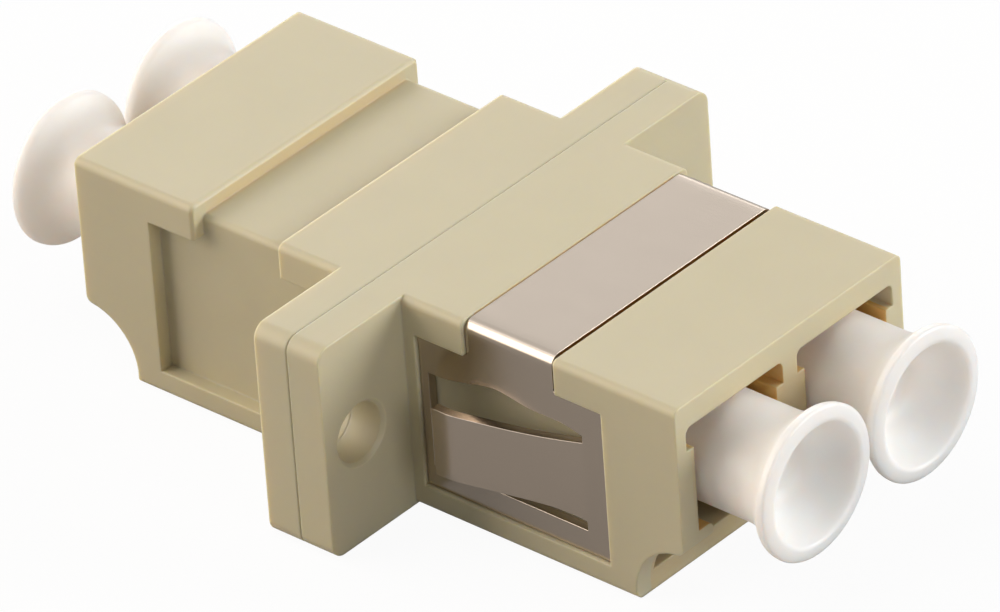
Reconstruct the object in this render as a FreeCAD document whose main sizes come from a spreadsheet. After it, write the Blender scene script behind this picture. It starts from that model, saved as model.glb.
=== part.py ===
# Duplex adapter for small optical-fibre plugs: two identical moulded halves welded at the
# flange, two split alignment sleeves held inside them, a stamped panel clip and four dust plugs.
# Millimetres. The origin is on the bottom face, under the middle of the weld seam: +X runs along
# the ports towards the half that carries the clip, +Z is up, and the latch slots are underneath.
import FreeCAD, Part
import math
import os

import Sketcher

# Every driving dimension, in millimetres.
SIZES = {
    # moulded half: body
    "body_width": 12.8,
    "body_height": 9.1,
    "half_length": 14.55,
    "edge_round": 0.3,
    # moulded half: flange, half of it on each side of the seam
    "flange_span": 22.0,
    "flange_plate": 1.55,
    "ear_round": 0.6,
    "seam_chamfer": 0.04,
    "screw_inset": 2.0,
    "screw_hole": 2.4,
    "screw_lead_in": 0.15,
    # moulded half: locating peg and its socket in the seam face, out from the body's side
    "peg_diameter": 1.0,
    "peg_length": 0.8,
    "peg_offset": 1.4,
    "peg_height": 1.9,
    "peg_play": 0.05,
    # moulded half: channel for the clip's strap, and the recess for its side plates
    "strap_start": 4.42,
    "strap_width": 4.29,
    "channel_depth": 0.6,
    "channel_round": 0.25,
    "collar_chamfer": 0.12,
    "recess_start": 2.06,
    "recess_length": 8.93,
    "recess_floor": 1.01,
    "recess_shoulder": 1.47,
    # moulded half: finger relief across the lower end corner
    "relief_radius": 2.36,
    "relief_rise": 0.45,
    "relief_lip": 0.3,
    # moulded half: ports
    "port_pitch": 6.25,
    "port_roof": 1.04,
    "port_width": 4.66,
    "port_height": 4.61,
    "shoulder_width": 5.46,
    "shoulder_height": 0.96,
    "shoulder_length": 3.0,
    "shoulder_corner": 0.3,
    "latch_width": 3.1,
    "latch_floor": 0.85,
    "catch_length": 2.0,
    "catch_round": 0.25,
    "web": 1.0,
    # moulded half: sleeve holder in each port
    "axis_drop": 2.38,
    "holder_diameter": 2.7,
    "holder_length": 3.6,
    "entry_throat": 1.36,
    "entry_slope": 0.27,
    "entry_mouth": 1.9,
    # split alignment sleeve
    "sleeve_diameter": 1.6,
    "sleeve_bore": 1.24,
    "sleeve_length": 6.6,
    "sleeve_slit": 0.3,
    "sleeve_play": 0.04,
    "sleeve_end_play": 0.1,
    # panel clip, stamped and folded from strip
    "strip": 0.4,
    "clip_play": 0.03,
    "fold_inside": 0.1,
    "window_inset": 0.4,
    "window_length": 7.35,
    "window_floor": 2.05,
    "window_height": 4.35,
    "window_corner": 0.2,
    "tab_floor": 2.35,
    "tab_height": 3.5,
    "tab_taper": 0.3,
    "tab_reach": 1.2,
    "tab_crest": 2.44,
    "tab_lip": 0.9,
    # dust plug
    "plug_diameter": 4.42,
    "plug_end_play": 0.15,
    "plug_tip_chamfer": 0.3,
    "socket_play": 0.1,
    "socket_end_play": 0.4,
    "neck_length": 1.95,
    "flare_bend": 0.7,
    "flare_rise": 0.24,
    "flare_length": 1.4,
    "rim_diameter": 6.14,
    "rim_length": 0.35,
    "rim_face": 0.14,
    "mouth_diameter": 4.9,
    "mouth_depth": 2.1,
    "mouth_floor": 2.6,
}

TOUCH = 1e-4          # two places closer than this are the same place


class Size:
    """A length that knows its value and its formula in the sheet."""

    def __init__(self, value, formula):
        self.value = value
        self.formula = formula

    def __add__(self, other):
        return combine(self, "+", other, self.value + value_of(other))

    def __sub__(self, other):
        return combine(self, "-", other, self.value - value_of(other))

    def __mul__(self, other):
        return combine(self, "*", other, self.value * value_of(other))

    def __truediv__(self, other):
        return combine(self, "/", other, self.value / value_of(other))

    def __neg__(self):
        return self * -1


def value_of(quantity):
    return quantity.value if isinstance(quantity, Size) else quantity


def combine(left, sign, right, value):
    """The Size that a sum, difference, product or quotient of two sizes gives."""
    right_formula = right.formula if isinstance(right, Size) else str(right)
    return Size(value, f"({left.formula} {sign} {right_formula})")


NOTHING = Size(0.0, "0")

doc = FreeCAD.newDocument("FibreAdapter")


def make_sheet():
    """Write the sizes to the sheet, each in a cell with its name as alias."""
    sheet = doc.addObject("Spreadsheet::Sheet", "Sizes")
    named = {}
    for row, (name, number) in enumerate(SIZES.items(), 1):
        sheet.set(f"A{row}", name)
        sheet.set(f"B{row}", str(number))
        sheet.setAlias(f"B{row}", name)
        named[name] = Size(number, f"Sizes.{name}")
    doc.recompute()
    return named


size = make_sheet()


# ---------------------------------------------------------------- sketches and features

def bind(thing, prop, length):
    """Set a property to a size and tie it to the sheet."""
    thing.setExpression(prop, length.formula)


def new_body(label):
    body = doc.addObject("PartDesign::Body", label)
    body.Label = label
    return body


def plane_of(body, role):
    """One of the body's own origin planes, such as XY_Plane."""
    return next(item for item in body.Origin.OriginFeatures if item.Role == role)


def new_sketch(body, label, role, offset=NOTHING):
    """A sketch on one of the body's origin planes, moved along the plane's normal by offset."""
    sketch = body.newObject("Sketcher::SketchObject", label)
    sketch.AttachmentSupport = (plane_of(body, role), [""])
    sketch.MapMode = "FlatFace"
    sketch.AttachmentOffset = FreeCAD.Placement(FreeCAD.Vector(0, 0, offset.value), FreeCAD.Rotation())
    bind(sketch, "AttachmentOffset.Base.z", offset)
    return sketch


def hold(sketch, kind, name, length, *references):
    """Add a dimension to a sketch and tie it to the sheet."""
    index = sketch.addConstraint(Sketcher.Constraint(kind, *references, length.value))
    sketch.renameConstraint(index, name)
    bind(sketch, f"Constraints.{name}", length)


def hold_point(sketch, side, end, across, up):
    """Hold one end (or centre) of a side at its distances from the sketch's origin."""
    hold(sketch, "DistanceX", f"across{side}", across, -1, 1, side, end)
    hold(sketch, "DistanceY", f"up{side}", up, -1, 1, side, end)


def tangent_arc(start, finish, heading):
    """The arc from start to finish that leaves start along heading, and the numbers that the
    sketcher gives its two ends, which it always counts anticlockwise."""
    normal = FreeCAD.Vector(-heading.y, heading.x, 0).normalize()
    chord = finish - start
    radius = chord.dot(chord) / (2 * chord.dot(normal))
    centre = start + normal * radius
    circle = Part.Circle(centre, FreeCAD.Vector(0, 0, 1), abs(radius))
    start_angle = math.atan2(start.y - centre.y, start.x - centre.x)
    finish_angle = math.atan2(finish.y - centre.y, finish.x - centre.x)
    if radius > 0:
        return Part.ArcOfCircle(circle, start_angle, finish_angle), (1, 2)
    return Part.ArcOfCircle(circle, finish_angle, start_angle), (2, 1)


def direction(start, finish):
    """Which way a side that runs straight across or up points: 1, 0 or -1 along each."""
    steps = [finish[axis].value - start[axis].value for axis in (0, 1)]
    return [0 if abs(step) < TOUCH else math.copysign(1, step) for step in steps]


def open_round_corners(corners):
    """Replace each corner that has a radius by the two ends of its arc."""
    points = []
    arcs = []
    for number, corner in enumerate(corners):
        if len(corner) == 2:
            points.append(corner)
            continue
        across, up, radius = corner
        arriving = direction(corners[number - 1], corner)
        leaving = direction(corner, corners[(number + 1) % len(corners)])
        arcs.append(len(points))
        points.append((across - radius * arriving[0], up - radius * arriving[1]))
        points.append((across + radius * leaving[0], up + radius * leaving[1]))
    return points, arcs


def draw_outline(sketch, corners, arcs=()):
    """Draw a closed outline through the corners, each held by its own two sizes.

    A corner with a third size is rounded by it. The side after a corner is straight, or, where
    the corner's number is in arcs, an arc that runs on smoothly from the side before it.
    """
    points, round_corners = open_round_corners(corners)
    arcs = list(arcs) + round_corners
    first = sketch.GeometryCount
    places = [FreeCAD.Vector(across.value, up.value, 0) for across, up in points]
    count = len(places)
    ends = []
    for number, start in enumerate(places):
        finish = places[(number + 1) % count]
        if number in arcs:
            curve, numbers = tangent_arc(start, finish, start - places[number - 1])
        else:
            curve, numbers = Part.LineSegment(start, finish), (1, 2)
        sketch.addGeometry(curve, False)
        ends.append(numbers)
    for number, (across, up) in enumerate(points):
        following = (number + 1) % count
        kind = "Tangent" if following in arcs else "Coincident"
        sketch.addConstraint(Sketcher.Constraint(
            kind, first + number, ends[number][1], first + following, ends[following][0]))
        hold_point(sketch, first + number, ends[number][0], across, up)


def draw_rectangle(sketch, left, bottom, width, height, lower_round=(), upper_round=()):
    """Draw a rectangle, its lower or upper corners rounded where a radius is given."""
    right = left + width
    top = bottom + height
    draw_outline(sketch, [(left, bottom, *lower_round), (right, bottom, *lower_round),
                          (right, top, *upper_round), (left, top, *upper_round)])


def draw_circle(sketch, across, up, diameter):
    centre = FreeCAD.Vector(across.value, up.value, 0)
    circle = Part.Circle(centre, FreeCAD.Vector(0, 0, 1), diameter.value / 2)
    side = sketch.addGeometry(circle, False)
    hold_point(sketch, side, 3, across, up)
    hold(sketch, "Diameter", f"diameter{side}", diameter, side)


def volume_of(body):
    doc.recompute()
    return body.Shape.Volume if body.Tip else 0


def pad(body, label, sketch, length, backwards=False):
    """Add material over a sketch, along its normal, or against it."""
    feature = body.newObject("PartDesign::Pad", label)
    feature.Profile = sketch
    feature.Reversed = backwards
    bind(feature, "Length", length)
    doc.recompute()
    return feature


def pocket(body, label, sketch, depth, forwards=False):
    """Remove material behind a sketch, against its normal, or along it."""
    before = volume_of(body)
    feature = body.newObject("PartDesign::Pocket", label)
    feature.Profile = sketch
    feature.Reversed = forwards
    bind(feature, "Length", depth)
    if before - volume_of(body) < TOUCH:
        raise RuntimeError(f"{label} cuts nothing")
    return feature


def turn(body, label, kind, sketch, axis):
    """Turn a sketch once round an axis of its own, to add material or to groove it away."""
    before = volume_of(body)
    feature = body.newObject(f"PartDesign::{kind}", label)
    feature.Profile = sketch
    feature.ReferenceAxis = (sketch, [axis])
    feature.Angle = 360
    change = volume_of(body) - before
    if change * (1 if kind == "Revolution" else -1) < TOUCH:
        raise RuntimeError(f"{label} changes nothing")
    return feature


def mirror(body, label, features):
    """Repeat features on the other side of the body's middle plane."""
    feature = body.newObject("PartDesign::Mirrored", label)
    feature.Originals = features
    feature.MirrorPlane = (plane_of(body, "XZ_Plane"), [""])
    body.Tip = feature
    doc.recompute()
    return feature


def edge_lies_at(edge, x=None, side=None, z=None):
    """True if the whole edge has the given x, distance from the middle plane, or z."""
    for place in [vertex.Point for vertex in edge.Vertexes] + [edge.CenterOfMass]:
        if x is not None and abs(place.x - x.value) > TOUCH:
            return False
        if side is not None and abs(abs(place.y) - side.value) > TOUCH:
            return False
        if z is not None and abs(place.z - z.value) > TOUCH:
            return False
    return True


def soften(body, label, kind, amount, *places):
    """Round or chamfer the edges that lie at any of the places."""
    base = body.Tip
    names = []
    for number, edge in enumerate(base.Shape.Edges, 1):
        if any(edge_lies_at(edge, **place) for place in places):
            names.append(f"Edge{number}")
    if not names:
        raise RuntimeError(f"{label} found no edge")
    feature = body.newObject(f"PartDesign::{kind}", label)
    feature.Base = (base, names)
    bind(feature, "Radius" if kind == "Fillet" else "Size", amount)
    doc.recompute()
    if "Invalid" in feature.State:
        raise RuntimeError(f"{label} can't be made")
    return feature


# ---------------------------------------------------------------- places shared by the pieces

half_width = size["body_width"] / 2
middle_height = size["body_height"] / 2
ear_end = size["flange_span"] / 2
channel_side = half_width - size["channel_depth"]
channel_top = size["body_height"] - size["channel_depth"]
strap_end = size["strap_start"] + size["strap_width"]
recess_top = size["body_height"] - size["recess_shoulder"]
port_centre = size["port_pitch"] / 2
port_top = size["body_height"] - size["port_roof"]
port_floor = port_top - size["port_height"]
port_axis = port_top - size["axis_drop"]
holder_tip = size["web"] + size["holder_length"]
past = size["body_height"]          # far enough to clear the body when a cut runs out of it


# ---------------------------------------------------------------- moulded halves

def cut_clip_seat(body):
    """The channel over the top for the clip's strap, and the recesses for its side plates."""
    sketch = new_sketch(body, "channel_outline", "YZ_Plane", size["strap_start"])
    outside = half_width + past
    above = size["body_height"] + past
    draw_outline(sketch, [
        (-outside, recess_top), (-channel_side, recess_top),
        (-channel_side, channel_top, size["channel_round"]),
        (channel_side, channel_top, size["channel_round"]),
        (channel_side, recess_top), (outside, recess_top), (outside, above), (-outside, above)])
    pocket(body, "strap_channel", sketch, size["strap_width"], forwards=True)
    sketch = new_sketch(body, "recess_outline", "XZ_Plane", half_width)
    draw_rectangle(sketch, size["recess_start"], size["recess_floor"],
                   size["recess_length"], recess_top - size["recess_floor"])
    recess = pocket(body, "side_recess", sketch, size["channel_depth"])
    mirror(body, "far_side_recess", [recess])
    soften(body, "collar_edge", "Chamfer", size["collar_chamfer"],
           {"x": strap_end, "z": size["body_height"]})


def cut_ports(body):
    """Two ports from the end face, with a catch on each side of each latch slot."""
    sketch = new_sketch(body, "port_outline", "YZ_Plane", size["half_length"])
    half_port = size["port_width"] / 2
    half_shoulder = size["shoulder_width"] / 2
    for middle in (-port_centre, port_centre):
        draw_rectangle(sketch, middle - half_port, port_floor,
                       size["port_width"], size["port_height"])
    pocket(body, "ports", sketch, size["half_length"] - size["web"])

    sketch = new_sketch(body, "shoulder_outline", "YZ_Plane", size["half_length"])
    for middle in (-port_centre, port_centre):
        draw_rectangle(sketch, middle - half_shoulder, port_top - size["shoulder_height"],
                       size["shoulder_width"], size["shoulder_height"],
                       upper_round=(size["shoulder_corner"],))
    pocket(body, "port_shoulders", sketch, size["shoulder_length"])

    latch_height = port_floor - size["latch_floor"]
    sketch = new_sketch(body, "latch_slot_outline", "YZ_Plane", size["half_length"])
    for middle in (-port_centre, port_centre):
        draw_rectangle(sketch, middle - size["latch_width"] / 2, size["latch_floor"],
                       size["latch_width"], latch_height)
    pocket(body, "latch_slots", sketch, size["catch_length"])
    catch_corners = []
    for middle in (port_centre - size["latch_width"] / 2, port_centre + size["latch_width"] / 2):
        catch_corners.append({"side": middle, "z": port_floor})
    soften(body, "catch_corners", "Fillet", size["catch_round"], *catch_corners)

    catch_back = size["half_length"] - size["catch_length"]
    sketch = new_sketch(body, "latch_room_outline", "YZ_Plane", catch_back)
    for middle in (-port_centre, port_centre):
        draw_rectangle(sketch, middle - half_port, size["latch_floor"],
                       size["port_width"], latch_height)
    pocket(body, "latch_rooms", sketch, catch_back - size["web"])


def add_sleeve_holders(body):
    """A barrel in each port, bored from the seam for the sleeve, with a lip that keeps the
    sleeve in and a wider way in for the ferrule at its tip."""
    sketch = new_sketch(body, "holder_outline", "YZ_Plane", size["web"])
    for middle in (-port_centre, port_centre):
        draw_circle(sketch, middle, port_axis, size["holder_diameter"])
    pad(body, "sleeve_holders", sketch, size["holder_length"])
    seat = size["sleeve_diameter"] / 2 + size["sleeve_play"]
    seat_end = size["sleeve_length"] / 2 + size["sleeve_end_play"]
    sketch = new_sketch(body, "bore_section", "XZ_Plane", port_centre)
    draw_outline(sketch, [
        (NOTHING, port_axis), (holder_tip, port_axis),
        (holder_tip, port_axis + size["entry_mouth"] / 2),
        (seat_end + size["entry_slope"], port_axis + size["entry_mouth"] / 2),
        (seat_end, port_axis + size["entry_throat"] / 2),
        (seat_end, port_axis + seat), (NOTHING, port_axis + seat)])
    bore = turn(body, "holder_bore", "Groove", sketch, "Edge1")
    mirror(body, "far_holder_bore", [bore])


def add_flange(body):
    """The ears with their screw holes, and the peg and socket that line up the two halves."""
    sketch = new_sketch(body, "flange_outline", "YZ_Plane")
    draw_rectangle(sketch, -size["flange_span"] / 2, NOTHING,
                   size["flange_span"], size["body_height"])
    pad(body, "flange", sketch, size["flange_plate"])
    soften(body, "ear_corners", "Fillet", size["ear_round"],
           {"side": ear_end, "z": NOTHING}, {"side": ear_end, "z": size["body_height"]})
    soften(body, "seam_edge", "Chamfer", size["seam_chamfer"], {"x": NOTHING, "z": NOTHING})
    hole_place = ear_end - size["screw_inset"]
    sketch = new_sketch(body, "screw_hole_outline", "YZ_Plane")
    for middle in (-hole_place, hole_place):
        draw_circle(sketch, middle, middle_height, size["screw_hole"])
    pocket(body, "screw_holes", sketch, size["flange_plate"], forwards=True)
    soften(body, "screw_hole_edge", "Chamfer", size["screw_lead_in"],
           {"x": size["flange_plate"], "z": middle_height})


def add_seam_pegs(body):
    """One peg and one socket, so that two of the same half plug into each other."""
    place = half_width + size["peg_offset"]
    sketch = new_sketch(body, "peg_outline", "YZ_Plane")
    draw_circle(sketch, place, size["peg_height"], size["peg_diameter"])
    pad(body, "seam_peg", sketch, size["peg_length"], backwards=True)
    sketch = new_sketch(body, "socket_outline", "YZ_Plane")
    draw_circle(sketch, -place, size["peg_height"],
                size["peg_diameter"] + size["peg_play"] * 2)
    pocket(body, "seam_socket", sketch, size["peg_length"] + size["peg_play"], forwards=True)


def make_housing(label, quarter_turns):
    """One moulded half. Its twin is the same piece turned half round about the vertical."""
    body = new_body(label)
    add_flange(body)
    sketch = new_sketch(body, "body_outline", "YZ_Plane", size["flange_plate"])
    draw_rectangle(sketch, -half_width, NOTHING, size["body_width"], size["body_height"])
    pad(body, "block", sketch, size["half_length"] - size["flange_plate"])
    soften(body, "long_edges", "Fillet", size["edge_round"],
           {"side": half_width, "z": NOTHING}, {"side": half_width, "z": size["body_height"]})
    cut_clip_seat(body)
    sketch = new_sketch(body, "relief_outline", "XZ_Plane", half_width)
    draw_circle(sketch, size["half_length"], size["relief_rise"], size["relief_radius"] * 2)
    pocket(body, "finger_relief", sketch, size["body_width"])
    soften(body, "relief_edge", "Fillet", size["relief_lip"],
           {"x": size["half_length"], "z": size["relief_rise"] + size["relief_radius"]})
    cut_ports(body)
    add_sleeve_holders(body)
    add_seam_pegs(body)
    body.Placement = FreeCAD.Placement(
        FreeCAD.Vector(), FreeCAD.Rotation(FreeCAD.Vector(0, 0, 1), 90 * quarter_turns))
    return body


# ---------------------------------------------------------------- split alignment sleeves

def make_sleeve(label, middle):
    """A split ceramic tube across the seam, which lines up the two ferrules."""
    body = new_body(label)
    start = -size["sleeve_length"] / 2
    sketch = new_sketch(body, "ring_outline", "YZ_Plane", start)
    draw_circle(sketch, NOTHING, NOTHING, size["sleeve_diameter"])
    draw_circle(sketch, NOTHING, NOTHING, size["sleeve_bore"])
    pad(body, "tube", sketch, size["sleeve_length"])
    sketch = new_sketch(body, "slit_outline", "YZ_Plane", start)
    draw_rectangle(sketch, -size["sleeve_slit"] / 2, NOTHING,
                   size["sleeve_slit"], size["sleeve_diameter"])
    pocket(body, "slit", sketch, size["sleeve_length"], forwards=True)
    place_on_port_axis(body, middle, 0)
    return body


def place_on_port_axis(body, middle, quarter_turns):
    """Put a piece that was made about the X axis on a port's axis."""
    body.Placement = FreeCAD.Placement(
        FreeCAD.Vector(0, middle.value, port_axis.value),
        FreeCAD.Rotation(FreeCAD.Vector(0, 0, 1), 90 * quarter_turns))
    bind(body, "Placement.Base.y", middle)
    bind(body, "Placement.Base.z", port_axis)
    doc.recompute()


# ---------------------------------------------------------------- panel clip

def make_clip(label):
    """One strip of spring steel: a strap over the top, and a side plate with a sprung tab
    on each side."""
    body = new_body(label)
    play = size["clip_play"]
    inner_side = channel_side + play
    outer_side = inner_side + size["strip"]
    inner_top = channel_top + play
    outer_top = inner_top + size["strip"]
    fold_outside = size["fold_inside"] + size["strip"]
    foot = size["recess_floor"] + play
    plate_start = size["recess_start"] + play
    plate_length = size["recess_length"] - play * 2
    plate_height = recess_top - play - foot

    sketch = new_sketch(body, "strap_outline", "YZ_Plane", size["strap_start"] + play)
    draw_outline(sketch, [
        (-outer_side, foot), (-inner_side, foot), (-inner_side, inner_top, size["fold_inside"]),
        (inner_side, inner_top, size["fold_inside"]), (inner_side, foot), (outer_side, foot),
        (outer_side, outer_top, fold_outside), (-outer_side, outer_top, fold_outside)])
    pad(body, "strap", sketch, size["strap_width"] - play * 2)

    sketch = new_sketch(body, "plate_outline", "XZ_Plane", inner_side)
    draw_rectangle(sketch, plate_start, foot, plate_length, plate_height)
    plate = pad(body, "side_plate", sketch, size["strip"])

    window_start = plate_start + size["window_inset"]
    sketch = new_sketch(body, "window_outline", "XZ_Plane", outer_side)
    corner = (size["window_corner"],)
    draw_rectangle(sketch, window_start, size["window_floor"],
                   size["window_length"], size["window_height"], corner, corner)
    window = pocket(body, "tab_window", sketch, size["strip"])

    hinge = window_start + size["window_length"]
    root = hinge + size["strip"]
    crest = plate_start + size["tab_crest"]
    tip = crest - size["tab_lip"]
    reach = size["tab_reach"]
    sketch = new_sketch(body, "tab_outline", "XY_Plane", size["tab_floor"])
    draw_outline(sketch, [
        (root, -inner_side), (hinge, -inner_side), (crest, -inner_side - reach),
        (tip, -inner_side - reach), (tip, -outer_side - reach), (crest, -outer_side - reach),
        (hinge, -outer_side), (root, -outer_side)])
    tab = pad(body, "sprung_tab", sketch, size["tab_height"])

    sketch = new_sketch(body, "taper_outline", "XZ_Plane", outer_side + reach)
    taper = size["tab_taper"]
    for edge, inward in ((size["tab_floor"], taper), (size["tab_floor"] + size["tab_height"], -taper)):
        draw_outline(sketch, [(hinge, edge), (tip, edge + inward), (tip, edge)])
    taper_cut = pocket(body, "tab_taper", sketch, reach + size["strip"])

    mirror(body, "far_side", [plate, window, tab, taper_cut])
    return body


# ---------------------------------------------------------------- dust plugs

def make_plug(label, middle, quarter_turns):
    """A round moulded plug: a stem whose socket slips over the sleeve holder, and a flared rim
    with a hollow mouth to pull it by."""
    body = new_body(label)
    stem = size["plug_diameter"] / 2
    socket = size["holder_diameter"] / 2 + size["socket_play"]
    inner_end = size["web"] + size["plug_end_play"]
    socket_end = holder_tip + size["socket_end_play"]
    flare_start = size["half_length"] + size["neck_length"]
    flare_end = flare_start + size["flare_length"]
    face = flare_end + size["rim_length"]
    lip = face + size["rim_face"]
    rim = size["rim_diameter"] / 2
    chamfer = size["plug_tip_chamfer"]
    mouth = size["mouth_diameter"] / 2
    floor = lip - size["mouth_depth"]
    sketch = new_sketch(body, "half_section", "XY_Plane")
    draw_outline(sketch, [
        (socket_end, NOTHING), (socket_end, socket), (inner_end, socket),
        (inner_end, stem - chamfer), (inner_end + chamfer, stem), (flare_start, stem),
        (flare_start + size["flare_bend"], stem + size["flare_rise"]), (flare_end, rim),
        (face, rim), (lip, mouth), (floor, size["mouth_floor"] / 2), (floor, NOTHING)],
        arcs=(5,))
    turn(body, "turned_form", "Revolution", sketch, "H_Axis")
    place_on_port_axis(body, middle, quarter_turns)
    return body


# ---------------------------------------------------------------- the whole adapter

def check_document():
    """Stop if any object of the document has failed."""
    for item in doc.Objects:
        if "Invalid" in item.State or "Error" in item.State:
            raise RuntimeError(f"{item.Label} has failed: {item.State}")


def export(pieces):
    os.makedirs("parts", exist_ok=True)
    for piece in pieces:
        shape = piece.Shape
        if shape.isNull() or not shape.isValid() or len(shape.Solids) != 1:
            raise RuntimeError(f"{piece.Label} isn't one valid solid")
        shape.exportStep(f"parts/{piece.Label}.step")


def main():
    left, right = -port_centre, port_centre
    pieces = [
        make_housing("front_housing", 0),
        make_housing("rear_housing", 2),
        make_sleeve("left_alignment_sleeve", left),
        make_sleeve("right_alignment_sleeve", right),
        make_clip("panel_clip"),
        make_plug("front_left_plug", left, 0),
        make_plug("front_right_plug", right, 0),
        make_plug("rear_left_plug", left, 2),
        make_plug("rear_right_plug", right, 2),
    ]
    doc.recompute()
    check_document()
    export(pieces)


main()
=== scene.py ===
"""Duplex fibre adapter: finishes for the moulded halves and the sleeves, a folded panel clip,
finely turned dust plugs, and a plain studio. Metres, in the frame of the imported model."""
import math

import bmesh
import bpy
import numpy as np
from bpy.props import FloatProperty, FloatVectorProperty, IntProperty, PointerProperty
from mathutils import Matrix, Vector


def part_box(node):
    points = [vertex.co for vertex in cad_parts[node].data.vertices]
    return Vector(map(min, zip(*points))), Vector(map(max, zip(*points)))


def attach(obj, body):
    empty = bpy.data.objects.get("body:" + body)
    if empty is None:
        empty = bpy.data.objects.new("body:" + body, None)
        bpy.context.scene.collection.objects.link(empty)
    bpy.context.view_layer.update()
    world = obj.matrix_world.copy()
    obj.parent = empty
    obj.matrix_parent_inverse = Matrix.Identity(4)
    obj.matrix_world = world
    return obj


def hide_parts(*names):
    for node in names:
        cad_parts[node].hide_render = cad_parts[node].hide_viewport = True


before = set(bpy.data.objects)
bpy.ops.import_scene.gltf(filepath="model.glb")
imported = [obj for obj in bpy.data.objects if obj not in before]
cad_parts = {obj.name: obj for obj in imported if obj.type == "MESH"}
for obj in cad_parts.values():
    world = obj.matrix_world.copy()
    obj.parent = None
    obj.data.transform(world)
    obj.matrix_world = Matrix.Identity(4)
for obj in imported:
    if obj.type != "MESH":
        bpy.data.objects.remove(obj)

bl_info = {
    "name": "Duplex fibre adapter",
    "version": (1, 0, 0),
    "blender": (4, 5, 0),
    "location": "View3D > Sidebar > Fibre adapter",
    "description": "Finishes a duplex fibre adapter with its panel clip and dust plugs",
    "category": "Object",
}

MM = 0.001
HOUSINGS = ("front_housing", "rear_housing")
SLEEVES = ("left_alignment_sleeve", "right_alignment_sleeve")
CLIP = "panel_clip"
ADAPTER = "adapter"
PLUGS = ("front_left_plug", "front_right_plug", "rear_left_plug", "rear_right_plug")
PORT_WALL = 5.62 * MM      # inner face of the ports' outer walls, from the middle
LAMP_DISTANCE = 0.8        # from the object to each lamp
FLOOR_DROP = 0.01 * MM     # how far the floor lies under the object
WELD = 0.002 * MM          # points of two grids closer than this are one
TAB_ROWS = 15              # points up the tab's root, which its side plate shares
CREST_SOFTNESS = 0.03      # share of the tab's ramp over which its crest rounds off
# the upper edge of the clip's window goes through these places: along X from the flange's
# middle and up from the base, in mm
WINDOW_ARCH = np.array([(2.4, 6.06), (3.0, 6.06), (4.4, 6.30), (5.5, 6.56), (7.4, 6.36),
                        (9.2, 6.30), (9.9, 6.14)])


def linear(hex_colour):
    """The linear colour of an sRGB hex value."""
    channels = [int(hex_colour[place:place + 2], 16) / 255 for place in (1, 3, 5)]
    return tuple(value / 12.92 if value <= 0.04045 else ((value + 0.055) / 1.055) ** 2.4
                 for value in channels)


def opaque(colour):
    """A colour property's three channels, with a fourth for a shader's socket."""
    return (*colour[:3], 1.0)


# ---------------------------------------------------------------- sizes and colours

def length(name, description, default):
    """A length property. Its default is in metres."""
    return FloatProperty(name=name, description=description, default=default,
                         min=0.0, unit="LENGTH", precision=5)


def colour(name, description, hex_colour):
    """A colour property. Its default is an sRGB hex value."""
    return FloatVectorProperty(name=name, description=description, default=linear(hex_colour),
                               min=0.0, max=1.0, size=3, subtype="COLOR")


class PlugSizes(bpy.types.PropertyGroup):
    """Sizes of a dust plug, each a radius or a length along its axis."""
    stem: length("Stem radius", "Radius of the stem that fills the port", 2.21 * MM)
    tip_round: length("Tip round", "Round at the stem's inner end", 0.3 * MM)
    wall_end: length("Tip wall", "Length of the socket that slips over the sleeve holder",
                     3.85 * MM)
    socket: length("Socket radius", "Radius of that socket", 1.45 * MM)
    flare_start: length("Flare start", "From the rim's face back to where the stem flares",
                        2.0 * MM)
    rim: length("Rim radius", "Outer radius of the flared rim", 3.07 * MM)
    rim_back: length("Rim back", "From the rim's face back to where the flare ends", 0.5 * MM)
    rim_round: length("Rim round", "Round of the rim's outer edge", 0.13 * MM)
    lip_drop: length("Lip slope", "How far the rim's face slopes back to its outer edge",
                     0.14 * MM)
    mouth: length("Mouth radius", "Radius of the hollow mouth at the face", 2.45 * MM)
    mouth_depth: length("Mouth depth", "Depth of the hollow mouth", 2.1 * MM)
    mouth_floor: length("Mouth floor radius", "Radius of the mouth's floor", 1.3 * MM)
    around: IntProperty(name="Steps around", description="Faces round the plug",
                        default=112, min=24, max=256)


class ClipSizes(bpy.types.PropertyGroup):
    """Sizes of the folded panel clip, along X from the flange's middle and up from the base."""
    strip: length("Strip", "Thickness of the steel strip", 0.4 * MM)
    fold: length("Fold", "Outer radius of the two folds", 0.45 * MM)
    plate_top: length("Plate top", "Height of the side plates' top edges", 7.6 * MM)
    strap_start: length("Strap start", "Where the strap starts, beside the flange", 4.47 * MM)
    strap_end: length("Strap end", "Where the strap ends, short of the collar", 8.61 * MM)
    strap_top: length("Strap top", "Height of the strap, level with the moulding", 9.06 * MM)
    window_start: length("Window start", "Where the window for the tab starts", 2.49 * MM)
    window_floor: length("Window floor", "Height of the window's lower edge", 2.02 * MM)
    hinge: length("Hinge", "Where the tab leaves its side plate", 9.84 * MM)
    crest: length("Crest", "Where the tab stands out furthest", 4.53 * MM)
    tip: length("Tip", "Where the tab's lip ends", 3.63 * MM)
    reach: length("Tab reach", "How far the crest stands out from its plate", 1.2 * MM)
    crest_round: length("Crest round", "How far each way from the crest its round goes", 0.2 * MM)
    root_low: length("Root, lower end", "Height of the tab's lower edge at its hinge", 2.4 * MM)
    root_high: length("Root, upper end", "Height of the tab's upper edge at its hinge", 5.84 * MM)
    neck: length("Neck", "Where the tab has drawn in to its narrow width", 6.3 * MM)
    neck_below: length("Neck below", "How far the tab's lower edge draws in", 0.32 * MM)
    neck_above: length("Neck above", "How far the tab's upper edge draws in", 0.24 * MM)
    sheared_edge: length("Sheared edge", "Round that tumbling leaves on the edges", 0.02 * MM)


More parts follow.
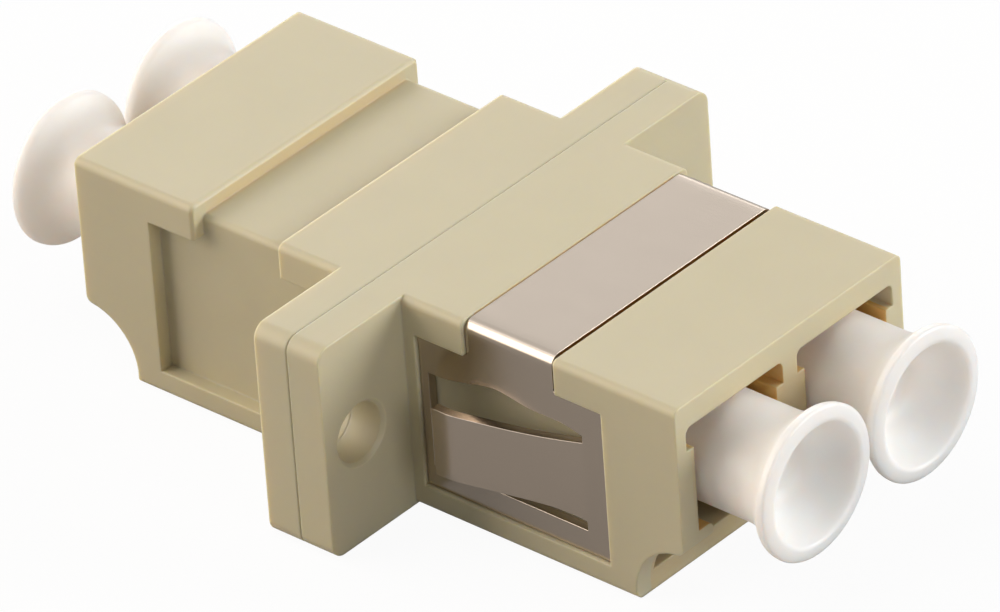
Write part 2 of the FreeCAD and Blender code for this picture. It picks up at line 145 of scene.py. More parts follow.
class Finishes(bpy.types.PropertyGroup):
    """Colours of the materials."""
    housing: colour("Housing", "Beige thermoplastic of the two halves", "#CBC2A3")
    # painted highlight: the paler colour that the outer edges are mixed towards, standing in for
    # light coming through the thin plastic there
    housing_edge_highlight: colour("Housing edge", "Thin outer edges of the moulding", "#E9E0BC")
    # painted glow: the golden colour mixed into the deep hollows of the ports, standing in for
    # light that comes through the plastic
    housing_port_glow: colour("Housing depth", "What the plastic takes on in its hollows", "#D9A648")
    plug: colour("Dust plug", "Soft white moulding", "#F1EEEB")
    steel: colour("Clip steel", "Bright stainless strip", "#B4A89B")
    ceramic: colour("Sleeve ceramic", "Ground white zirconia", "#EFEBE2")


class Studio(bpy.types.PropertyGroup):
    """The floor, the lights and the world."""
    floor_size: length("Floor", "Side of the square floor", 3.0)
    floor_card: colour("Floor card", "Card that bounces light onto the object", "#B4B2B0")
    floor_seen: colour("Floor seen", "Card that the camera sees", "#F8F8F8")
    floor_white: FloatProperty(name="Floor white", description="Share of plain white seen on it",
                               default=0.94, min=0.0, max=1.0)
    floor_mirrored: FloatProperty(name="Floor mirrored",
                                  description="Share of plain white that gloss reflects",
                                  default=0.2, min=0.0, max=1.0)
    world_light: FloatProperty(name="World", description="Strength of the soft surrounding light",
                               default=0.02, min=0.0)
    key_light: FloatProperty(name="Key", description="Power of the lamp behind the front end",
                             default=5.4, min=0.0, subtype="POWER")
    side_light: FloatProperty(name="Side", description="Power of the lamp on the clip's side",
                              default=8.0, min=0.0, subtype="POWER")
    rear_light: FloatProperty(name="Rear", description="Power of the low lamp behind",
                              default=1.9, min=0.0, subtype="POWER")
    top_light: FloatProperty(name="Top", description="Power of the lamp overhead",
                             default=1.2, min=0.0, subtype="POWER")
    front_light: FloatProperty(name="Front", description="Power of the lamp before the front end",
                               default=1.6, min=0.0, subtype="POWER")


class AdapterSettings(bpy.types.PropertyGroup):
    """All that can be set for the adapter and its stage."""
    plug: PointerProperty(type=PlugSizes)
    clip: PointerProperty(type=ClipSizes)
    finish: PointerProperty(type=Finishes)
    studio: PointerProperty(type=Studio)


# ---------------------------------------------------------------- material nodes

def add_node(tree, kind, settings=None, feeds=(), **links):
    """Add a node. settings gives its properties and the values of its sockets, which are named
    or numbered. feeds gives the outputs that its first sockets are fed from, in order, with
    None to leave one alone. links gives the output for a socket that is named, with _ for
    each space."""
    node = tree.nodes.new(kind)
    for name, value in (settings or {}).items():
        if isinstance(name, str) and hasattr(node, name):
            setattr(node, name, value)
        else:
            node.inputs[name].default_value = value
    for socket, source in zip(node.inputs, feeds):
        if source is not None:
            tree.links.new(source, socket)
    for name, source in links.items():
        tree.links.new(source, node.inputs[name.replace("_", " ")])
    return node


def new_material(name):
    """A material with an empty node tree, and that tree."""
    material = bpy.data.materials.new(name)
    material.use_nodes = True
    material.node_tree.nodes.clear()
    return material, material.node_tree


def moulded_beige_pbt(finish):
    """Injection-moulded beige PBT from a spark-eroded tool: a satin skin with a fine grain, a
    faint cloudiness from the filler, softly rounded edges, a painted highlight that makes the
    outer edges paler, and a painted warm golden glow in the hollows of the ports, standing in
    for light that passes a little way through the plastic."""
    material, tree = new_material("moulded beige PBT")
    place = add_node(tree, "ShaderNodeTexCoord").outputs["Object"]
    # spark-eroded grain is some 0.03 mm across; it is drawn at 0.12 mm so that it shows
    grain = add_node(tree, "ShaderNodeTexNoise", {"Scale": 1 / (0.12 * MM), "Detail": 2.0},
                     Vector=place)
    # filler clouds, 3 mm across
    cloud = add_node(tree, "ShaderNodeTexNoise", {"Scale": 1 / (3 * MM), "Detail": 3.0},
                     Vector=place)
    open_skin = add_node(tree, "ShaderNodeMix", {
        "data_type": "RGBA", "A": opaque(finish.housing),
        "B": opaque([channel * 0.93 for channel in finish.housing])},
        Factor=cloud.outputs["Fac"])
    edge = add_node(tree, "ShaderNodeBevel", {"samples": 6, "Radius": 0.12 * MM})
    hollow = add_node(tree, "ShaderNodeAmbientOcclusion", {"samples": 4, "Distance": 3 * MM})
    # painted highlight: at outer edges that are open to light, the colour is mixed towards a
    # paler one, standing in for light coming through the thin of the edge, so the edge is paler
    face = add_node(tree, "ShaderNodeNewGeometry")
    turn = add_node(tree, "ShaderNodeVectorMath", {"operation": "DOT_PRODUCT"},
                    (face.outputs["Normal"], edge.outputs["Normal"]))
    bent = add_node(tree, "ShaderNodeMapRange", {
        "From Min": 0.99, "From Max": 0.80, "To Min": 0.0, "To Max": 0.55},
        Value=turn.outputs["Value"])
    free = add_node(tree, "ShaderNodeMapRange", {"From Min": 0.6, "From Max": 0.9},
                    Value=hollow.outputs["AO"])
    # rim is the share of the painted edge highlight: how sharply an edge is rounded, times how
    # open it is to light
    rim = add_node(tree, "ShaderNodeMath", {"operation": "MULTIPLY"},
                   (bent.outputs["Result"], free.outputs["Result"]))
    edge_highlighted_skin = add_node(tree, "ShaderNodeMix", {
        "data_type": "RGBA", "B": opaque(finish.housing_edge_highlight)},
        Factor=rim.outputs[0], A=open_skin.outputs["Result"])
    # painted glow: inside the ports, where the hollow shade is deep, the colour is mixed towards
    # a golden one, standing in for light that has come through the plastic, which takes its blue
    # away
    across = add_node(tree, "ShaderNodeSeparateXYZ", Vector=place)
    apart = add_node(tree, "ShaderNodeMath", {"operation": "ABSOLUTE"}, (across.outputs["Y"],))
    within = add_node(tree, "ShaderNodeMath", {"operation": "LESS_THAN", 1: PORT_WALL},
                      (apart.outputs[0],))
    depth = add_node(tree, "ShaderNodeMapRange", {
        "From Min": 0.62, "From Max": 0.1, "To Min": 0.0, "To Max": 0.9},
        Value=hollow.outputs["AO"])
    # share of the painted golden glow: deep hollow shade, only inside the ports
    painted_glow_share = add_node(tree, "ShaderNodeMath", {"operation": "MULTIPLY"},
                      (depth.outputs["Result"], within.outputs[0]))
    skin = add_node(tree, "ShaderNodeMix", {
        "data_type": "RGBA", "B": opaque(finish.housing_port_glow)},
        Factor=painted_glow_share.outputs[0], A=edge_highlighted_skin.outputs["Result"])
    gloss = add_node(tree, "ShaderNodeMapRange", {"To Min": 0.42, "To Max": 0.52},
                     Value=grain.outputs["Fac"])
    relief = add_node(tree, "ShaderNodeBump", {"Strength": 0.10, "Distance": 0.01 * MM},
                      Height=grain.outputs["Fac"], Normal=edge.outputs["Normal"])
    shader = add_node(tree, "ShaderNodeBsdfPrincipled", {
        "IOR": 1.51, "Subsurface Weight": 0.4, "Subsurface Scale": 0.8 * MM,
        "Subsurface Radius": (1.0, 0.7, 0.25)},
        Base_Color=skin.outputs["Result"], Normal=relief.outputs["Normal"],
        Roughness=gloss.outputs["Result"])
    add_node(tree, "ShaderNodeOutputMaterial", Surface=shader.outputs[0])
    return material


def moulded_white_polythene(finish):
    """Soft injection-moulded polythene: waxy, milky white, light sinks a millimetre into it, so
    shadows are pale and warm; a polished tool leaves it with a broad soft gloss."""
    material, tree = new_material("moulded white polythene")
    place = add_node(tree, "ShaderNodeTexCoord").outputs["Object"]
    # the skin's slight waviness, 0.8 mm across
    wave = add_node(tree, "ShaderNodeTexNoise", {"Scale": 1 / (0.8 * MM), "Detail": 2.0},
                    Vector=place)
    # flow clouds, 2.5 mm across
    cloud = add_node(tree, "ShaderNodeTexNoise", {"Scale": 1 / (2.5 * MM), "Detail": 2.0},
                     Vector=place)
    red, green, blue = finish.plug
    skin = add_node(tree, "ShaderNodeMix", {
        "data_type": "RGBA", "A": opaque(finish.plug),
        "B": opaque((red * 0.985, green * 0.975, blue * 0.965))}, Factor=cloud.outputs["Fac"])
    relief = add_node(tree, "ShaderNodeBump", {"Strength": 0.08, "Distance": 0.02 * MM},
                      Height=wave.outputs["Fac"])
    gloss = add_node(tree, "ShaderNodeMapRange", {"To Min": 0.38, "To Max": 0.46},
                     Value=wave.outputs["Fac"])
    shader = add_node(tree, "ShaderNodeBsdfPrincipled", {
        "IOR": 1.51, "Subsurface Weight": 1.0, "Subsurface Scale": 1.4 * MM,
        "Subsurface Radius": (1.0, 0.82, 0.7)},
        Base_Color=skin.outputs["Result"], Normal=relief.outputs["Normal"],
        Roughness=gloss.outputs["Result"])
    add_node(tree, "ShaderNodeOutputMaterial", Surface=shader.outputs[0])
    return material


def bright_stainless_strip(finish):
    """Bright-rolled stainless strip, blanked and folded: nearly a mirror, with faint rolling
    lines along the strip and a slight unevenness that bends what it reflects."""
    material, tree = new_material("bright rolled stainless strip")
    place = add_node(tree, "ShaderNodeTexCoord").outputs["Object"]
    # rolling lines along X: 0.05 mm apart, drawn out 40 times as long
    lined = add_node(tree, "ShaderNodeMapping", {"Scale": (0.025, 1.0, 1.0)}, Vector=place)
    lines = add_node(tree, "ShaderNodeTexNoise", {"Scale": 1 / (0.05 * MM), "Detail": 2.0},
                     Vector=lined.outputs["Vector"])
    # unevenness from blanking, 1.5 mm across
    wave = add_node(tree, "ShaderNodeTexNoise", {"Scale": 1 / (1.5 * MM), "Detail": 1.0},
                    Vector=place)
    wavy = add_node(tree, "ShaderNodeBump", {"Strength": 0.10, "Distance": 0.03 * MM},
                    Height=wave.outputs["Fac"])
    relief = add_node(tree, "ShaderNodeBump", {"Strength": 0.06, "Distance": 0.003 * MM},
                      Height=lines.outputs["Fac"], Normal=wavy.outputs["Normal"])
    gloss = add_node(tree, "ShaderNodeMapRange", {"To Min": 0.16, "To Max": 0.26},
                     Value=lines.outputs["Fac"])
    shader = add_node(tree, "ShaderNodeBsdfPrincipled", {
        "Metallic": 1.0, "Base Color": opaque(finish.steel)},
        Normal=relief.outputs["Normal"], Roughness=gloss.outputs["Result"])
    add_node(tree, "ShaderNodeOutputMaterial", Surface=shader.outputs[0])
    return material


def ground_zirconia(finish):
    """Ground and polished zirconia: dense white ceramic, glassy, with faint grinding rings."""
    material, tree = new_material("ground zirconia")
    place = add_node(tree, "ShaderNodeTexCoord").outputs["Object"]
    # grinding rings 0.04 mm apart along the sleeve
    ringed = add_node(tree, "ShaderNodeMapping", {"Scale": (1.0, 0.05, 0.05)}, Vector=place)
    rings = add_node(tree, "ShaderNodeTexNoise", {"Scale": 1 / (0.04 * MM), "Detail": 1.0},
                     Vector=ringed.outputs["Vector"])
    relief = add_node(tree, "ShaderNodeBump", {"Strength": 0.05, "Distance": 0.002 * MM},
                      Height=rings.outputs["Fac"])
    skin = add_node(tree, "ShaderNodeMix", {
        "data_type": "RGBA", "A": opaque(finish.ceramic),
        "B": opaque([channel * 0.96 for channel in finish.ceramic])},
        Factor=rings.outputs["Fac"])
    shader = add_node(tree, "ShaderNodeBsdfPrincipled", {
        "IOR": 2.1, "Roughness": 0.15, "Subsurface Weight": 0.1,
        "Subsurface Scale": 0.3 * MM, "Subsurface Radius": (1.0, 0.9, 0.8)},
        Base_Color=skin.outputs["Result"], Normal=relief.outputs["Normal"])
    add_node(tree, "ShaderNodeOutputMaterial", Surface=shader.outputs[0])
    return material


def studio_paper(studio):
    """Matt paper for the floor. The camera sees it as white with the object's shadow left faint
    on it, and bright metal reflects some of that white; the light that it bounces back onto the
    object is that of pale grey card."""
    material, tree = new_material("matt studio paper")
    place = add_node(tree, "ShaderNodeTexCoord").outputs["Object"]
    ray = add_node(tree, "ShaderNodeLightPath")
    # paper tooth, 0.5 mm
    tooth = add_node(tree, "ShaderNodeTexNoise", {"Scale": 1 / (0.5 * MM), "Detail": 2.0},
                     Vector=place)
    relief = add_node(tree, "ShaderNodeBump", {"Strength": 0.05, "Distance": 0.02 * MM},
                      Height=tooth.outputs["Fac"])
    card = add_node(tree, "ShaderNodeMix", {
        "data_type": "RGBA", "A": opaque(studio.floor_card), "B": opaque(studio.floor_seen)},
        Factor=ray.outputs["Is Camera Ray"])
    paper = add_node(tree, "ShaderNodeBsdfDiffuse", Color=card.outputs["Result"],
                     Normal=relief.outputs["Normal"])
    white = add_node(tree, "ShaderNodeEmission", {"Color": (1, 1, 1, 1), "Strength": 1.0})
    straight = add_node(tree, "ShaderNodeMath", {"operation": "MAXIMUM"},
                        (ray.outputs["Is Camera Ray"], ray.outputs["Is Transmission Ray"]))
    seen = add_node(tree, "ShaderNodeMath", {"operation": "MULTIPLY", 1: studio.floor_white},
                    (straight.outputs[0],))
    share = add_node(tree, "ShaderNodeMath", {
        "operation": "MULTIPLY_ADD", 1: studio.floor_mirrored},
        (ray.outputs["Is Glossy Ray"], None, seen.outputs[0]))
    mix = add_node(tree, "ShaderNodeMixShader", None,
                   (share.outputs[0], paper.outputs[0], white.outputs[0]))
    add_node(tree, "ShaderNodeOutputMaterial", Surface=mix.outputs[0])
    return material


def in_scene(name, data):
    """An object that holds the data, in the scene's own collection."""
    piece = bpy.data.objects.new(name, data)
    bpy.context.scene.collection.objects.link(piece)
    return piece


# ---------------------------------------------------------------- turned pieces

def rounded_profile(corners, rounds, steps=7):
    """A profile through corners, each cut back by its round and joined by a curve.

    With P the corner, A and B the points on the two sides that lie its round away from P, and
    s from 0 to 1, the curve is (1-s)^2 A + 2s(1-s) P + s^2 B. One more point on each side,
    a quarter of the round further off, keeps the shading of the straight runs flat.
    """
    corners = np.asarray(corners, float)
    rounds = np.asarray(rounds, float)[:, None]
    to_last = np.roll(corners, 1, axis=0) - corners
    to_next = np.roll(corners, -1, axis=0) - corners
    to_last /= np.maximum(np.linalg.norm(to_last, axis=1, keepdims=True), 1e-12)
    to_next /= np.maximum(np.linalg.norm(to_next, axis=1, keepdims=True), 1e-12)
    share = np.linspace(0, 1, steps)[None, :, None]
    start = (corners + to_last * rounds)[:, None, :]
    finish = (corners + to_next * rounds)[:, None, :]
    curve = ((1 - share) ** 2 * start + 2 * share * (1 - share) * corners[:, None, :]
             + share ** 2 * finish)
    before = (corners + to_last * rounds * 1.25)[:, None, :]
    after = (corners + to_next * rounds * 1.25)[:, None, :]
    return np.concatenate([before, curve, after], axis=1).reshape(-1, 2)


def turned_surface(name, profile, around, middle, outwards):
    """A closed surface turned about a line along X.

    Point (i, j) is middle + (u_i * outwards, r_i * cos(t_j), r_i * sin(t_j)), where (u_i, r_i)
    is the profile's i-th point and t_j goes once round. The profile starts and ends on the
    axis, where one point closes each end.
    """
    along = profile[1:-1, 0][:, None]
    radius = profile[1:-1, 1][:, None]
    angle = np.linspace(0, 2 * math.pi, around, endpoint=False)[None, :]
    grid = np.stack([along * outwards + np.zeros_like(angle),
                     radius * np.cos(angle), radius * np.sin(angle)], axis=-1)
    ends = np.array([[profile[0, 0] * outwards, 0, 0], [profile[-1, 0] * outwards, 0, 0]])
    points = np.concatenate([grid.reshape(-1, 3), ends]) + np.asarray(middle)
    rows, columns = grid.shape[:2]
    row = np.arange(rows - 1)[:, None] * columns
    column = np.arange(columns)[None, :]
    following = (column + 1) % columns
    quads = np.stack([row + column, row + following, row + columns + following,
                      row + columns + column], axis=-1).reshape(-1, 4)
    first_pole = rows * columns
    last_row = (rows - 1) * columns
    column, following = column.ravel(), following.ravel()
    first_cap = np.stack([np.full(columns, first_pole), following, column], axis=-1)
    last_cap = np.stack([np.full(columns, first_pole + 1), last_row + column,
                         last_row + following], axis=-1)
    if outwards < 0:
        quads, first_cap, last_cap = quads[:, ::-1], first_cap[:, ::-1], last_cap[:, ::-1]
    mesh = bpy.data.meshes.new(name)
    mesh.from_pydata(points.tolist(), [], quads.tolist() + first_cap.tolist() + last_cap.tolist())
    mesh.shade_smooth()
    mesh.update()
    return in_scene(name, mesh)


def plug_profile(sizes, inner_end, face):
    """Half section of a plug, from the socket's end on the axis, round the stem, the flare and
    the rim, to the mouth's floor on the axis. Each corner is (along, radius, round)."""
    socket_end = inner_end + sizes.wall_end
    flare_start = face - sizes.flare_start
    rim_back = face - sizes.rim_back
    flare = rim_back - flare_start
    # the stem turns into the flare just short of half way along it, over half its length
    bend, bend_round = flare_start + flare * 0.45, flare * 0.5
    back_radius = sizes.rim - 0.05 * MM
    corners = [
        (socket_end, sizes.socket, 0.15 * MM),
        (inner_end, sizes.socket, 0.12 * MM),
        (inner_end, sizes.stem - sizes.tip_round, 0.1 * MM),
        (inner_end + sizes.tip_round, sizes.stem, 0.1 * MM),
        (bend, sizes.stem, bend_round),
        (rim_back, back_radius, sizes.rim_round),
        (face - sizes.lip_drop, sizes.rim, sizes.rim_round),
        (face, sizes.mouth, 0.14 * MM),
        (face - sizes.mouth_depth, sizes.mouth_floor, 0.55 * MM),
    ]
    table = np.array([(socket_end, 0.0, 0.0), *corners,
                      (face - sizes.mouth_depth, 0.0, 0.0)])
    curve = rounded_profile(table[:, :2], table[:, 2])
    points = len(curve) // len(table)
    inside = curve[points:-points]
    return np.concatenate([table[:1, :2], inside, table[-1:, :2]])


# ---------------------------------------------------------------- folded strip

def window_top(x):
    """Height of the window's upper edge in mm: level at the tab's tip, up over a low arch, then
    down to the hinge. Between two places of the arch it is the cubic that has the height and
    the slope of each at its ends."""
    places, heights = WINDOW_ARCH.T
    slopes = np.gradient(heights, places)
    number = np.clip(np.searchsorted(places, x, side="right") - 1, 0, len(places) - 2)
    step = places[number + 1] - places[number]
    share = np.clip((x - places[number]) / step, 0, 1)
    return ((2 * share ** 3 - 3 * share ** 2 + 1) * heights[number]
            + (share ** 3 - 2 * share ** 2 + share) * step * slopes[number]
            + (3 * share ** 2 - 2 * share ** 3) * heights[number + 1]
            + (share ** 3 - share ** 2) * step * slopes[number + 1])


def sheet_between(x, low, high, rows, y):
    """A grid that stands up: point (i, j) is (x_j, y_j, z), where z goes in rows equal steps
    from low_j to high_j. A plate's y is one number, and a tab's changes along it."""
    share = np.linspace(0, 1, rows + 1)[:, None]
    height = low[None, :] + share * (high - low)[None, :]
    return np.stack(np.broadcast_arrays(x[None, :], y, height), axis=-1)


def tab_sheet(sizes, side):
    """The sprung tab as a grid: point (i, j) is (x_j, side - out_j, z_ij). out_j is the tab's
    reach times the softened smaller of 1 and a ramp that rises from 0 at the hinge to 1 at the
    crest. z_ij goes in equal steps from the lower edge to the upper one, and from the hinge to
    the neck these draw in by 1 - n^4 and 1 - n^2, with n from 1 at the hinge to 0."""
    along = np.concatenate([
        np.linspace(sizes.tip, sizes.crest - sizes.crest_round, 5),
        np.linspace(sizes.crest - sizes.crest_round, sizes.crest + sizes.crest_round, 9)[1:],
        np.linspace(sizes.crest + sizes.crest_round, sizes.hinge, 45)[1:]])
    ramp = (sizes.hinge - along) / (sizes.hinge - sizes.crest)
    out = sizes.reach * (1 - CREST_SOFTNESS * np.logaddexp(0, (1 - ramp) / CREST_SOFTNESS))
    out[-1] = 0.0
    wide = np.clip((along - sizes.neck) / (sizes.hinge - sizes.neck), 0, 1)
    lower = sizes.root_low + sizes.neck_below * (1 - wide ** 4)
    upper = sizes.root_high - sizes.neck_above * (1 - wide ** 2)
    return sheet_between(along, lower, upper, TAB_ROWS - 1, side - out)


def strap_sheet(sizes, side, along):
    """The strap and its folds as a grid: point (i, j) is (x_j, y_i, z_i), and (y, z) goes up one
    side, round a quarter circle at the fold, level across, and down the other side."""
    rise = np.linspace(sizes.plate_top, sizes.strap_top - sizes.fold, 6)[:-1]
    turn = np.linspace(0, math.pi / 2, 13)
    half = np.concatenate([
        np.stack([np.full_like(rise, side), rise], axis=-1),
        np.stack([side + sizes.fold * (1 - np.cos(turn)),
                  sizes.strap_top - sizes.fold * (1 - np.sin(turn))], axis=-1)])
    level = np.linspace(half[-1, 0], -half[-1, 0], 33)[1:-1]
    section = np.concatenate([
        half, np.stack([level, np.full_like(level, sizes.strap_top)], axis=-1),
        half[::-1] * np.array([-1, 1])])
    return np.stack(np.broadcast_arrays(along[None, :], section[:, :1], section[:, 1:]), axis=-1)


def clip_sheets(sizes, low, high):
    """The clip's outer surface as grids that meet at their edges: for each side plate a lower
    rail, an upper rail, a post at each end of the window and the sprung tab, and between the
    plates the strap. A plate's grids go in steps along X and up. The second plate is the
    first mirrored in Y, with its rows the other way so that its faces point outwards."""
    side = -(high.y - sizes.reach)
    before = np.linspace(low.x, sizes.window_start, 4)
    beside = np.concatenate([np.linspace(sizes.window_start, sizes.strap_start, 17),
                             np.linspace(sizes.strap_start, sizes.strap_end, 34)[1:],
                             np.linspace(sizes.strap_end, sizes.hinge, 11)[1:]])
    after = np.linspace(sizes.hinge, high.x, 8)
    along = np.concatenate([before, beside[1:], after[1:]])
    foot = np.full_like(along, low.z)
    floor = np.full_like(along, sizes.window_floor)
    top = window_top(np.clip(along, sizes.window_start, sizes.hinge) / MM) * MM
    rail = np.full_like(along, sizes.plate_top)

    tip_rows = np.linspace(sizes.window_floor, top[0], 9)
    tip_post = np.stack(np.broadcast_arrays(before[None, :], side, tip_rows[:, None]), axis=-1)
    hinge_rows = np.concatenate([[sizes.window_floor],
                                 np.linspace(sizes.root_low, sizes.root_high, TAB_ROWS),
                                 [top[-1]]])
    hinge_post = np.stack(np.broadcast_arrays(after[None, :], side, hinge_rows[:, None]),
                          axis=-1)

    plate = [sheet_between(along, foot, floor, 6, side), sheet_between(along, top, rail, 8, side),
             tip_post, hinge_post, tab_sheet(sizes, side)]
    mirrored = [sheet[::-1] * np.array([1, -1, 1]) for sheet in plate]
    under_strap = (along > sizes.strap_start - WELD) & (along < sizes.strap_end + WELD)
    return [*plate, *mirrored, strap_sheet(sizes, side, along[under_strap])]


def joined_sheets(name, sheets):
    """One mesh from grids of points, joined where they meet. Each cell of a grid is a face whose
    corners go along the row, up, and back, so that rows that rise face -Y."""
    points, faces, first = [], [], 0
    for sheet in sheets:
        rows, columns = sheet.shape[:2]
        row = np.arange(rows - 1)[:, None] * columns + first
        column = np.arange(columns - 1)[None, :]
        faces.append(np.stack([row + column, row + column + 1, row + column + columns + 1,
                               row + column + columns], axis=-1).reshape(-1, 4))
        points.append(sheet.reshape(-1, 3))
        first += rows * columns
    mesh = bpy.data.meshes.new(name)
    mesh.from_pydata(np.concatenate(points).tolist(), [], np.concatenate(faces).tolist())
    work = bmesh.new()
    work.from_mesh(mesh)
    bmesh.ops.remove_doubles(work, verts=work.verts, dist=WELD)
    work.to_mesh(mesh)
    work.free()
    mesh.shade_smooth()
    mesh.update()
    return in_scene(name, mesh)


# ---------------------------------------------------------------- operators

def adapter_settings(context):
    """The adapter's sizes, colours and lights in the scene."""
    return context.scene.fibre_adapter


def give_material(name, material):
    """Put a material in every slot of a CAD node's object."""
    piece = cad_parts[name]
    if not piece.material_slots:
        piece.data.materials.append(material)
    for place in piece.material_slots:
        place.material = material


class FIBRE_OT_mould_housings(bpy.types.Operator):
    """Give the two moulded halves their plastic"""
    bl_idname = "fibre_adapter.mould_housings"
    bl_label = "Mould housings"

    def execute(self, context):
        material = moulded_beige_pbt(adapter_settings(context).finish)
        for name in HOUSINGS:
            give_material(name, material)
        return {"FINISHED"}


class FIBRE_OT_grind_sleeves(bpy.types.Operator):
    """Give the two alignment sleeves their ceramic"""
    bl_idname = "fibre_adapter.grind_sleeves"
    bl_label = "Grind sleeves"

    def execute(self, context):
        material = ground_zirconia(adapter_settings(context).finish)
        for name in SLEEVES:
            give_material(name, material)
        return {"FINISHED"}


class FIBRE_OT_fold_clip(bpy.types.Operator):
    """Fold the panel clip from steel strip, in place of the plain one"""
    bl_idname = "fibre_adapter.fold_clip"
    bl_label = "Fold clip"

    def execute(self, context):
        settings = adapter_settings(context)
        sizes = settings.clip
        piece = joined_sheets(f"{CLIP}_folded", clip_sheets(sizes, *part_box(CLIP)))
        piece.data.materials.append(bright_stainless_strip(settings.finish))
        strip = piece.modifiers.new("strip", "SOLIDIFY")
        strip.thickness = sizes.strip
        strip.offset = -1.0
        strip.use_even_offset = True
        edges = piece.modifiers.new("sheared edges", "BEVEL")
        edges.width = sizes.sheared_edge
        edges.segments = 2
        edges.limit_method = "ANGLE"
        edges.angle_limit = math.radians(50)
        edges.harden_normals = True
        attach(piece, ADAPTER)
        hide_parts(CLIP)
        return {"FINISHED"}


class FIBRE_OT_turn_plugs(bpy.types.Operator):
    """Make the four dust plugs, softly rounded, in place of the plain ones"""
    bl_idname = "fibre_adapter.turn_plugs"
    bl_label = "Turn dust plugs"

    def execute(self, context):
        settings = adapter_settings(context)
        material = moulded_white_polythene(settings.finish)
        for name in PLUGS:
            low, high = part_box(name)
            middle = (low + high) / 2
            outwards = 1 if middle.x > 0 else -1
            inner_end, face = sorted((abs(low.x), abs(high.x)))
            profile = plug_profile(settings.plug, inner_end, face)
            piece = turned_surface(f"{name}_moulding", profile, settings.plug.around,
                                   (0, middle.y, middle.z), outwards)
            piece.data.materials.append(material)
            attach(piece, name)
            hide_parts(name)
        return {"FINISHED"}


class FIBRE_OT_set_stage(bpy.types.Operator):
    """Lay the floor, hang the lamps and set up the camera"""
    bl_idname = "fibre_adapter.set_stage"
    bl_label = "Set stage"

    def execute(self, context):
        studio = adapter_settings(context).studio
        lay_floor(studio)
        light_world(studio)
        hang_lamp("key lamp", studio.key_light, (45, 21), 0.45, "#FFFFFF")
        hang_lamp("side lamp", studio.side_light, (210, 22), 0.8, "#FFF3E6")
        hang_lamp("rear lamp", studio.rear_light, (143, 12), 0.45, "#FFFFFF")
        hang_lamp("top lamp", studio.top_light, (220, 72), 0.45, "#FFFFFF")
        hang_lamp("front lamp", studio.front_light, (345, 25), 0.45, "#FFFFFF")
        set_camera()
        return {"FINISHED"}


def lay_floor(studio):
    """A square sheet just under the object: four corners at half its size each way."""
    half = studio.floor_size / 2
    across = np.array([-half, half, half, -half])
    up = np.array([-half, -half, half, half])
    points = np.stack([across, up, np.full(4, -FLOOR_DROP)], axis=-1)
    mesh = bpy.data.meshes.new("studio_floor")
    mesh.from_pydata(points.tolist(), [], [(0, 1, 2, 3)])
    mesh.update()
    floor = in_scene("studio_floor", mesh)
    mesh.materials.append(studio_paper(studio))


def light_world(studio):
    """Soft white light from all round, seen as plain white."""
    world = bpy.data.worlds.new("soft white room")
    bpy.context.scene.world = world
    world.use_nodes = True
    tree = world.node_tree
    tree.nodes.clear()
    soft = add_node(tree, "ShaderNodeBackground", {
        "Color": (1, 1, 1, 1), "Strength": studio.world_light})
    white = add_node(tree, "ShaderNodeBackground", {"Color": (1, 1, 1, 1), "Strength": 1.0})
    ray = add_node(tree, "ShaderNodeLightPath")
    straight = add_node(tree, "ShaderNodeMath", {"operation": "MAXIMUM"},
                        (ray.outputs["Is Camera Ray"], ray.outputs["Is Transmission Ray"]))
    seen = add_node(tree, "ShaderNodeMath", {"operation": "MAXIMUM"},
                    (straight.outputs[0], ray.outputs["Is Glossy Ray"]))
    mix = add_node(tree, "ShaderNodeMixShader", None,
                   (seen.outputs[0], soft.outputs[0], white.outputs[0]))
    add_node(tree, "ShaderNodeOutputWorld", Surface=mix.outputs[0])


def hang_lamp(name, power, direction, side, tint):
    """A square soft box of the given side, turned to the object. Its direction is how far round
    from X it stands and how far up, in degrees: the place is the lamps' distance times
    (cos up cos round, cos up sin round, sin up)."""
    around, up = np.radians(direction)
    place = Vector((math.cos(up) * math.cos(around), math.cos(up) * math.sin(around),
                    math.sin(up))) * LAMP_DISTANCE
    lamp = bpy.data.lights.new(name, "AREA")
    lamp.shape = "SQUARE"
    lamp.size = side
    lamp.energy = power
    lamp.color = linear(tint)
    holder = in_scene(name, lamp)
    holder.location = place
    holder.rotation_euler = (-place).to_track_quat("-Z", "Y").to_euler()


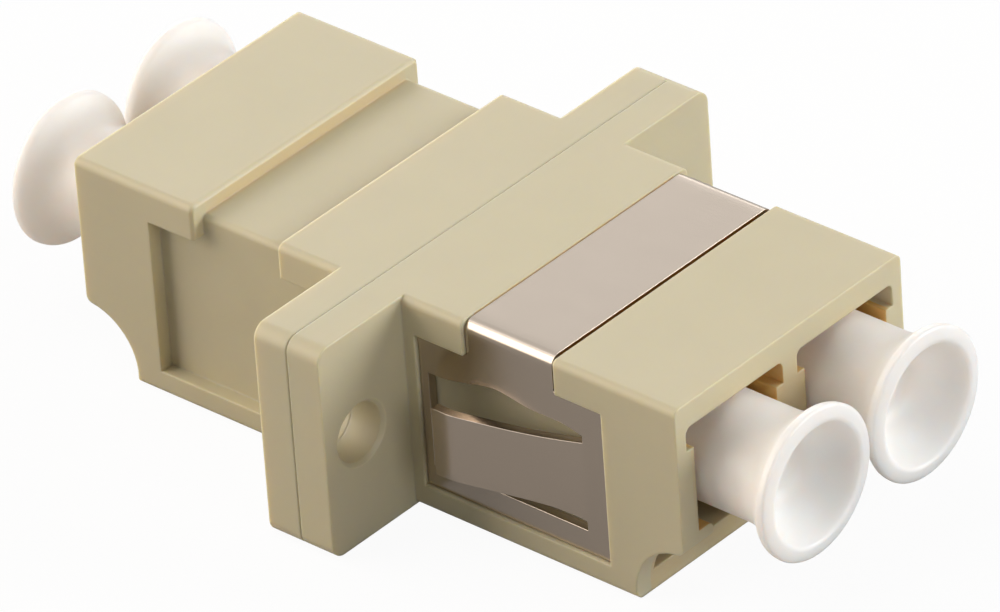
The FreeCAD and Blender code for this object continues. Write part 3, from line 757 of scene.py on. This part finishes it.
def set_camera():
    """A long lens, 0.46 m off, above the clip's side and towards the front end."""
    view = bpy.data.cameras.new("camera")
    view.sensor_width = 36.0
    view.lens = 444.258
    view.clip_start = 0.05
    view.clip_end = 10.0
    camera = in_scene("camera", view)
    place = Vector((0.260376, -0.278981, 0.253605))
    right = Vector((0.75685261, 0.65074298, -0.06089095))
    up = Vector((-0.31824616, 0.44830046, 0.83531196))
    back = right.cross(up)
    turned = Matrix((right, up, back)).transposed().to_4x4()
    camera.matrix_world = Matrix.Translation(place) @ turned
    bpy.context.scene.camera = camera


# ---------------------------------------------------------------- panel and registering

OPERATORS = (FIBRE_OT_mould_housings, FIBRE_OT_grind_sleeves, FIBRE_OT_fold_clip,
             FIBRE_OT_turn_plugs, FIBRE_OT_set_stage)


class FIBRE_PT_adapter(bpy.types.Panel):
    """Sizes, colours and pieces of the fibre adapter"""
    bl_idname = "FIBRE_PT_adapter"
    bl_label = "Fibre adapter"
    bl_space_type = "VIEW_3D"
    bl_region_type = "UI"
    bl_category = "Fibre adapter"

    def draw(self, context):
        settings = adapter_settings(context)
        for group in (settings.plug, settings.clip, settings.finish, settings.studio):
            column = self.layout.column(align=True)
            for name in group.__annotations__:
                column.prop(group, name)
        for operator in OPERATORS:
            self.layout.operator(operator.bl_idname)


CLASSES = (PlugSizes, ClipSizes, Finishes, Studio, AdapterSettings, *OPERATORS, FIBRE_PT_adapter)


def register():
    """Make the classes known, and give each scene its settings."""
    for item in CLASSES:
        bpy.utils.register_class(item)
    bpy.types.Scene.fibre_adapter = PointerProperty(type=AdapterSettings)


def unregister():
    """Undo register."""
    del bpy.types.Scene.fibre_adapter
    for item in reversed(CLASSES):
        bpy.utils.unregister_class(item)


def main():
    """Make every piece and the stage."""
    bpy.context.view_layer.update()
    register()
    bpy.ops.fibre_adapter.mould_housings()
    bpy.ops.fibre_adapter.grind_sleeves()
    bpy.ops.fibre_adapter.fold_clip()
    bpy.ops.fibre_adapter.turn_plugs()
    bpy.ops.fibre_adapter.set_stage()
    bpy.context.scene.view_settings.view_transform = "Standard"


if __name__ == "__main__":
    main()
